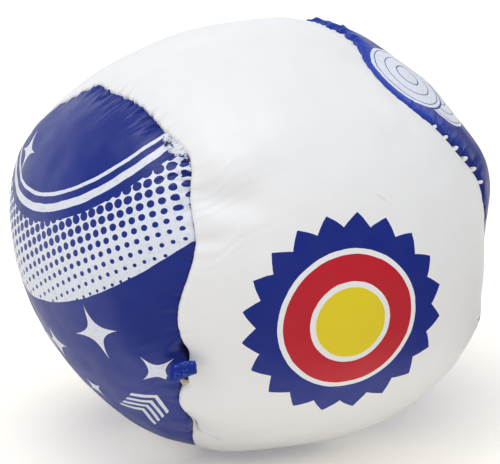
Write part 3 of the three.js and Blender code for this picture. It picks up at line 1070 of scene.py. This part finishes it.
# The coating: pressed pebbles, drawn about twice their real size so that they show, over softer
# dents of the knit below. Its gloss changes in patches, between the shares of a noise given here.
GRAIN_SIZE = 0.3
GRAIN_DEPTH = 0.012
DENT_SIZE = 1.8
DENT_DEPTH = 0.05
DENT_STRENGTH = 0.35
VINYL_IOR = 1.53
GLOSS_PATCH_SIZE = 2.6
GLOSS_PATCH_SHARES = (0.3, 0.7)
WHITE_ROUGHNESS = (0.38, 0.5)
BLUE_ROUGHNESS = (0.34, 0.46)
TUCK_ROUGHNESS = (0.4, 0.6)
TUCK_SPECULAR = 0.2
CREASED_ROUGHNESS = 0.6
CLOUD_SIZE = 6.0

# Painted shade down in the seam's groove: from the width where it starts to where it is full, and how full
SEAM_SHADE_WIDTHS = (0.25, 0.08)
SEAM_SHADE_SHARE = 0.6

# Painted light: brighter blue by the seam on top of the right lobe, where light from above falls
# strongly. Its middle on the ball, then where it ends and where it is full, from that middle and
# from the seam
TOP_LIGHT_TOWARD = (5, 62)
TOP_LIGHT_REACH = (19, 10)
TOP_LIGHT_WIDTH = (3.6, 1.2)
TOP_LIGHT_BLUE = "#2342B4"

# White ink, thin enough in specks for the blue to show
INK_SPECK_SIZE = 0.5
INK_SPECK_SHARES = (0.3, 0.5)
INK_THIN_SHARE = 0.88

# Painted sheen on the rolled tuck, as light blue flecks in its colour, and what shows where the
# creased edge is worn: from dark brown specks over dye and cracked ink to whole ink
TUCK_SHEEN_SIZE = 0.45
TUCK_SHEEN_SHARES = (0.53, 0.74)
CREASE_WEAR_SIZE = 0.7
CREASE_WEAR_SHARES = [(0.34, "#4A3838"), (0.39, "#6E78B4"), (0.46, "#DDE0EB"), (1, "#EEF0F4")]

# Painted shade along thin creases in the white panel: place on the ball, how it is turned, length, how dark
CREASE_LINES = [
    (-110.5, -40.8, -96, 2.6, 0.8),
    (-107.7, -44.6, -22, 2.7, 0.8),
    (-54.7, 25.2, -50, 1.4, 0.18),
]
CREASE_LINE_WIDTH = 0.2
CREASE_SHADE_COLOUR = "#6E6158"


def vinyl_grain(tree, place):
    """What all coated cloth here shares: its gloss level, and its fine pressed grain over the
    faint print-through of the knit."""
    grain = add(tree, "TexVoronoi", place, Scale=1 / (GRAIN_SIZE * MM))
    dents = add(tree, "TexNoise", place, Scale=1 / (DENT_SIZE * MM), Detail=3.0)
    soft = add(tree, "Bump", Height=dents, Distance=DENT_DEPTH * MM, Strength=DENT_STRENGTH)
    bump = add(tree, "Bump", Height=grain, Distance=GRAIN_DEPTH * MM, Normal=soft)
    return {"IOR": VINYL_IOR, "Normal": bump}


def vinyl_roughness(tree, place, low, high):
    noise = add(tree, "TexNoise", place, Scale=1 / (GLOSS_PATCH_SIZE * MM), Detail=4.0)
    return add(tree, "MapRange", noise, *GLOSS_PATCH_SHARES, low, high)


def clouded(tree, place, colour, other):
    """A cloth colour that drifts a little over the panel."""
    clouds = add(tree, "TexNoise", place, Scale=1 / (CLOUD_SIZE * MM), Detail=3.0)
    return add(tree, "Mix", data_type="RGBA", Factor=clouds, A=colour, B=other)


def seam_painted_shade(tree, colour, shade_colour):
    """Paints shade onto the cloth down in the seam's groove, darker nearer the seam."""
    width = add(tree, "Attribute", attribute_name="from_seam").outputs["Fac"]
    deep = add(tree, "MapRange", width, *SEAM_SHADE_WIDTHS, 0, SEAM_SHADE_SHARE)
    return add(tree, "Mix", data_type="RGBA", Factor=deep, A=colour, B=shade_colour)


def painted_crease_shade(tree, place, azimuth, elevation, spin, length, strength):
    """How much painted shade a short crease gets: most along its middle, fading to its sides and ends."""
    flat, radius = motif_frame(tree, place, azimuth, elevation, spin)
    parts = add(tree, "SeparateXYZ", flat).outputs
    masks = [add(tree, "Math", radius, 2 * length, operation="LESS_THAN"), strength]
    for part, reach, full_reach in (("X", length / 2, length / 4), ("Y", CREASE_LINE_WIDTH, 0.0)):
        away = add(tree, "Math", parts[part], operation="ABSOLUTE")
        masks.append(add(tree, "MapRange", away, reach, full_reach))
    return merged(tree, "MULTIPLY", masks)


def white_vinyl():
    """Calendered PVC on knit, white: a soft even gloss over a very fine pressed grain."""
    material, tree, place = new_material("white_vinyl")
    colour = target_print(tree, place, clouded(tree, place, "#EBEBEC", "#F1F1F3"))
    for spot in CREASE_LINES:
        line = painted_crease_shade(tree, place, *spot)
        # Painted shade: a grey-brown line along each crease
        colour = add(tree, "Mix", data_type="RGBA", Factor=line, A=colour, B=CREASE_SHADE_COLOUR)
    # Painted shade: brown grey down in the seam's groove
    colour = seam_painted_shade(tree, colour, "#4A3A36")
    roughness = vinyl_roughness(tree, place, *WHITE_ROUGHNESS)
    return finished(material, Base_Color=colour, Roughness=roughness, **vinyl_grain(tree, place))


def painted_top_light(tree, place, dye):
    """Painted light: brighter blue by the seam on top of the right lobe's edge, where light from above
    falls strongly.
    """
    middle = Vector((CENTRE + direction(*TOP_LIGHT_TOWARD) * MEAN_RADIUS) * MM)
    away = add(tree, "VectorMath", place, middle, operation="DISTANCE")
    end_reach, full_reach = TOP_LIGHT_REACH
    near = add(tree, "MapRange", away, end_reach * MM, full_reach * MM)
    width = add(tree, "Attribute", attribute_name="from_seam").outputs["Fac"]
    by_seam = add(tree, "MapRange", width, *TOP_LIGHT_WIDTH)
    share = merged(tree, "MULTIPLY", [near, by_seam])
    return add(tree, "Mix", data_type="RGBA", Factor=share, A=dye, B=TOP_LIGHT_BLUE)


def blue_vinyl():
    """The same cloth dyed blue, with its print in white ink, through which some blue shows."""
    material, tree, place = new_material("blue_vinyl")
    # Painted light: the blue is brighter near the top of the right lobe, by the seam
    dye = painted_top_light(tree, place, clouded(tree, place, "#102784", "#142D8E"))
    specks = add(tree, "TexNoise", place, Scale=1 / (INK_SPECK_SIZE * MM), Detail=3.0)
    cover = add(tree, "MapRange", specks, *INK_SPECK_SHARES, INK_THIN_SHARE)
    ink = merged(tree, "MULTIPLY", [print_mask(tree, place), cover])
    colour = add(tree, "Mix", data_type="RGBA", Factor=ink, A=dye, B="#E2E6F2")
    # Painted shade: near black down in the seam's groove
    colour = seam_painted_shade(tree, colour, "#1A0F1E")
    roughness = vinyl_roughness(tree, place, *BLUE_ROUGHNESS)
    return finished(material, Base_Color=colour, Roughness=roughness, **vinyl_grain(tree, place))


def tuck_vinyl():
    """The blue cloth where it is rolled: no print, a mottled gloss, and painted sheen as light blue flecks
    in its colour.
    """
    material, tree, place = new_material("tuck_vinyl")
    # Painted sheen: light blue flecks mixed into the dark blue
    noise = add(tree, "TexNoise", place, Scale=1 / (TUCK_SHEEN_SIZE * MM), Detail=4.0)
    mottle = add(tree, "MapRange", noise, *TUCK_SHEEN_SHARES)
    return finished(
        material,
        Base_Color=add(tree, "Mix", data_type="RGBA", Factor=mottle, A="#0D288A", B="#4A6CD0"),
        Roughness=vinyl_roughness(tree, place, *TUCK_ROUGHNESS),
        Specular_IOR_Level=TUCK_SPECULAR,
        **vinyl_grain(tree, place),
    )


def creased_vinyl():
    """The printed edge of the blue cloth, rubbed: dark brown specks, and white ink cracked down to the dye.
    """
    material, tree, place = new_material("creased_vinyl")
    wear = add(tree, "TexNoise", place, Scale=1 / (CREASE_WEAR_SIZE * MM), Detail=3.0)
    colour = add(tree, "ValToRGB", wear)
    set_bands(colour, CREASE_WEAR_SHARES, "LINEAR")
    grain = vinyl_grain(tree, place)
    return finished(material, Base_Color=colour, Roughness=CREASED_ROUGHNESS, **grain)


# Knit, thread and pellets: the sizes of their loops, fibres and scuffs, and how deep these are
KNIT_LOOP_SIZE = 0.4
KNIT_LOOP_DEPTH = 0.12
KNIT_ROUGHNESS = 0.95
FIBRE_SIZE = 0.12
FIBRE_DEPTH = 0.06
THREAD_ROUGHNESS = 0.85
FUZZ = 0.3
PELLET_SCUFF_SIZE = 0.6
PELLET_SCUFF_DEPTH = 0.04
PELLET_ROUGHNESS = 0.45
POLYETHYLENE_IOR = 1.51


def knit_cloth():
    """Undyed polyester knit on the back of the coating: cream, matt, with small round loops."""
    material, tree, place = new_material("knit_backing")
    loops = add(tree, "TexVoronoi", place, Scale=1 / (KNIT_LOOP_SIZE * MM))
    colour = add(tree, "Mix", data_type="RGBA", Factor=loops, A="#E3D9C6", B="#A8977B")
    bump = add(tree, "Bump", Height=loops, Distance=KNIT_LOOP_DEPTH * MM)
    return finished(material, Base_Color=colour, Roughness=KNIT_ROUGHNESS, Sheen_Weight=FUZZ, Normal=bump)


def spun_thread():
    """Spun polyester sewing thread, off-white: matt, with a fine twist and a little fuzz."""
    material, tree, place = new_material("spun_thread")
    twist = add(tree, "TexNoise", place, Scale=1 / (FIBRE_SIZE * MM))
    colour = add(tree, "Mix", data_type="RGBA", Factor=twist, A="#DEDCD8", B="#F8F8F6")
    bump = add(tree, "Bump", Height=twist, Distance=FIBRE_DEPTH * MM)
    return finished(material, Base_Color=colour, Roughness=THREAD_ROUGHNESS, Sheen_Weight=FUZZ, Normal=bump)


def pellet_plastic():
    """Natural polyethylene, moulded: milky, with a waxy gloss, each pellet with its own tint."""
    material, tree, place = new_material("pellet_plastic")
    tint = add(tree, "NewGeometry").outputs["Random Per Island"]
    colour = add(tree, "Mix", data_type="RGBA", Factor=tint, A="#D6DBE0", B="#EEF0EE")
    mottle = add(tree, "TexNoise", place, Scale=1 / (PELLET_SCUFF_SIZE * MM), Detail=3.0)
    bump = add(tree, "Bump", Height=mottle, Distance=PELLET_SCUFF_DEPTH * MM)
    gloss = {"Roughness": PELLET_ROUGHNESS, "IOR": POLYETHYLENE_IOR}
    return finished(material, Base_Color=colour, Normal=bump, **gloss)


# Camera: looking along +Y and down
VIEW_ELEVATION = 20
LENS = 200
SENSOR_WIDTH = 36
FRAME_WIDTH = 57.4
AIM_RIGHT = -0.459
AIM_UP = 0.184
NEAREST_SEEN = 10


def add_camera():
    axes = Matrix(turn((1, 0, 0), HALF_TURN / 2 - VIEW_ELEVATION))
    distance = FRAME_WIDTH * LENS / SENSOR_WIDTH
    eye = Vector(CENTRE) + axes @ Vector((AIM_RIGHT, AIM_UP, distance))
    data = bpy.data.cameras.new("camera")
    data.lens = LENS
    data.sensor_width = SENSOR_WIDTH
    data.clip_start = NEAREST_SEEN * MM
    camera = bpy.data.objects.new("camera", data)
    camera.matrix_world = Matrix.Translation(eye * MM) @ axes.to_4x4()
    bpy.context.scene.collection.objects.link(camera)
    bpy.context.scene.camera = camera


# Studio: a pale floor, an even bright room, and one large soft lamp overhead to the left. What
# gloss mirrors is a dim room with one bright side and a window.
FLOOR_HALF_SIZE = 1500
FLOOR_GLOW = 0.08
FLOOR_SEEN_GLOW = 0.2
ROOM_LIGHT = (0.45, 1.08)
WINDOW_TOWARD = (50, 27)
WINDOW_SPREAD = (0.965, 0.99)
WINDOW_HIGH = 1.6
MIRRORED_TOWARD = (120, -25)
MIRRORED_SPREAD = (0.25, 0.65)
FLOOR_MIRRORED = (4, -6)
FLOOR_NEAR_MIRRORED = (34, 45)
LAMP_SIZE = 260
LAMP_PLACE = (-95, -81, 398)
LAMP_POWER = 0.42


def floor_paint():
    """A matt warm white sweep. All but its bright side is left dark in mirrorings, as a dim room."""
    material, tree, place = new_material("floor_paint")
    path = add(tree, "LightPath").outputs
    seen = path["Is Camera Ray"]
    glow = add(tree, "Math", seen, FLOOR_SEEN_GLOW, FLOOR_GLOW, operation="MULTIPLY_ADD")
    paint = add(
        tree,
        "BsdfPrincipled",
        Base_Color="#F4EFE6",
        Roughness=1.0,
        Specular_IOR_Level=0.0,
        Emission_Color="#FFFCF8",
        Emission_Strength=glow,
    )
    bright_side = Vector(direction(MIRRORED_TOWARD[0], 0))
    toward = add(tree, "VectorMath", place, bright_side, operation="DOT_PRODUCT")
    away = add(tree, "VectorMath", place, operation="LENGTH")
    dims = []
    for reach, (bright, dark) in ((toward, FLOOR_MIRRORED), (away, FLOOR_NEAR_MIRRORED)):
        dims.append(add(tree, "MapRange", reach, bright * MM, dark * MM))
    dim = merged(tree, "MULTIPLY", [merged(tree, "MINIMUM", dims), path["Is Glossy Ray"]])
    dark = add(tree, "Emission", Color="#000000")
    add(tree, "OutputMaterial", Surface=add(tree, "MixShader", dim, paint, dark))
    return material


def add_floor():
    mesh = bpy.data.meshes.new("floor")
    bm = bmesh.new()
    bmesh.ops.create_grid(bm, x_segments=1, y_segments=1, size=FLOOR_HALF_SIZE * MM)
    bm.to_mesh(mesh)
    bm.free()
    mesh.materials.append(floor_paint())
    floor = bpy.data.objects.new("floor", mesh)
    bpy.context.scene.collection.objects.link(floor)


def bright_spot(tree, way, toward, spread, brightness):
    """A soft-edged bright round of the room, seen towards one side."""
    facing = add(tree, "VectorMath", way, Vector(direction(*toward)), operation="DOT_PRODUCT")
    return add(tree, "MapRange", facing, *spread, 0, brightness, interpolation_type="SMOOTHSTEP")


def add_room():
    """Even light that grows towards the ceiling, seen as white behind the object."""
    world = bpy.data.worlds.new("studio")
    bpy.context.scene.world = world
    world.use_nodes = True
    tree = world.node_tree
    tree.nodes.clear()
    way = add(tree, "TexCoord").outputs["Generated"]
    height = add(tree, "SeparateXYZ", way).outputs["Z"]
    light = add(tree, "MapRange", height, 0, 1, *ROOM_LIGHT)
    side = bright_spot(tree, way, MIRRORED_TOWARD, MIRRORED_SPREAD, 1.0)
    window = bright_spot(tree, way, WINDOW_TOWARD, WINDOW_SPREAD, WINDOW_HIGH)
    mirrored = merged(tree, "MAXIMUM", [side, window])
    path = add(tree, "LightPath").outputs
    strength = add(tree, "Mix", Factor=path["Is Glossy Ray"], A=light, B=mirrored)
    seen = path["Is Camera Ray"]
    strength = add(tree, "Mix", Factor=seen, A=strength, B=1.0)
    tint = add(tree, "Mix", data_type="RGBA", Factor=seen, A="#FBFDFF", B="#FFFFFF")
    background = add(tree, "Background", Color=tint, Strength=strength)
    add(tree, "OutputWorld", Surface=background)


def add_lamp():
    data = bpy.data.lights.new("overhead_lamp", "AREA")
    data.shape = "DISK"
    data.size = LAMP_SIZE * MM
    data.energy = LAMP_POWER
    lamp = bpy.data.objects.new("overhead_lamp", data)
    place = Vector(LAMP_PLACE) * MM
    aim = Vector(CENTRE) * MM - place
    lamp.matrix_world = Matrix.Translation(place) @ aim.to_track_quat("-Z", "Y").to_matrix().to_4x4()
    bpy.context.scene.collection.objects.link(lamp)


add_camera()
knit = knit_cloth()
add_cover("white_cover", WHITE, white_vinyl(), "white_vinyl", "white_panel")
add_cover("blue_cover", BLUE, blue_vinyl(), "blue_vinyl", "blue_panel")
add_knit("white_knit", WHITE, knit, "white_backing")
add_knit("blue_knit", BLUE, knit, "blue_backing")
add_threads(spun_thread())
add_stray_cloth(tuck_vinyl(), knit)
add_piece("pellets", pellet_mesh(pellet_places()), pellet_plastic(), "pellets", "pellet_fill")
add_floor()
add_room()
add_lamp()
bpy.context.scene.view_settings.view_transform = "Standard"
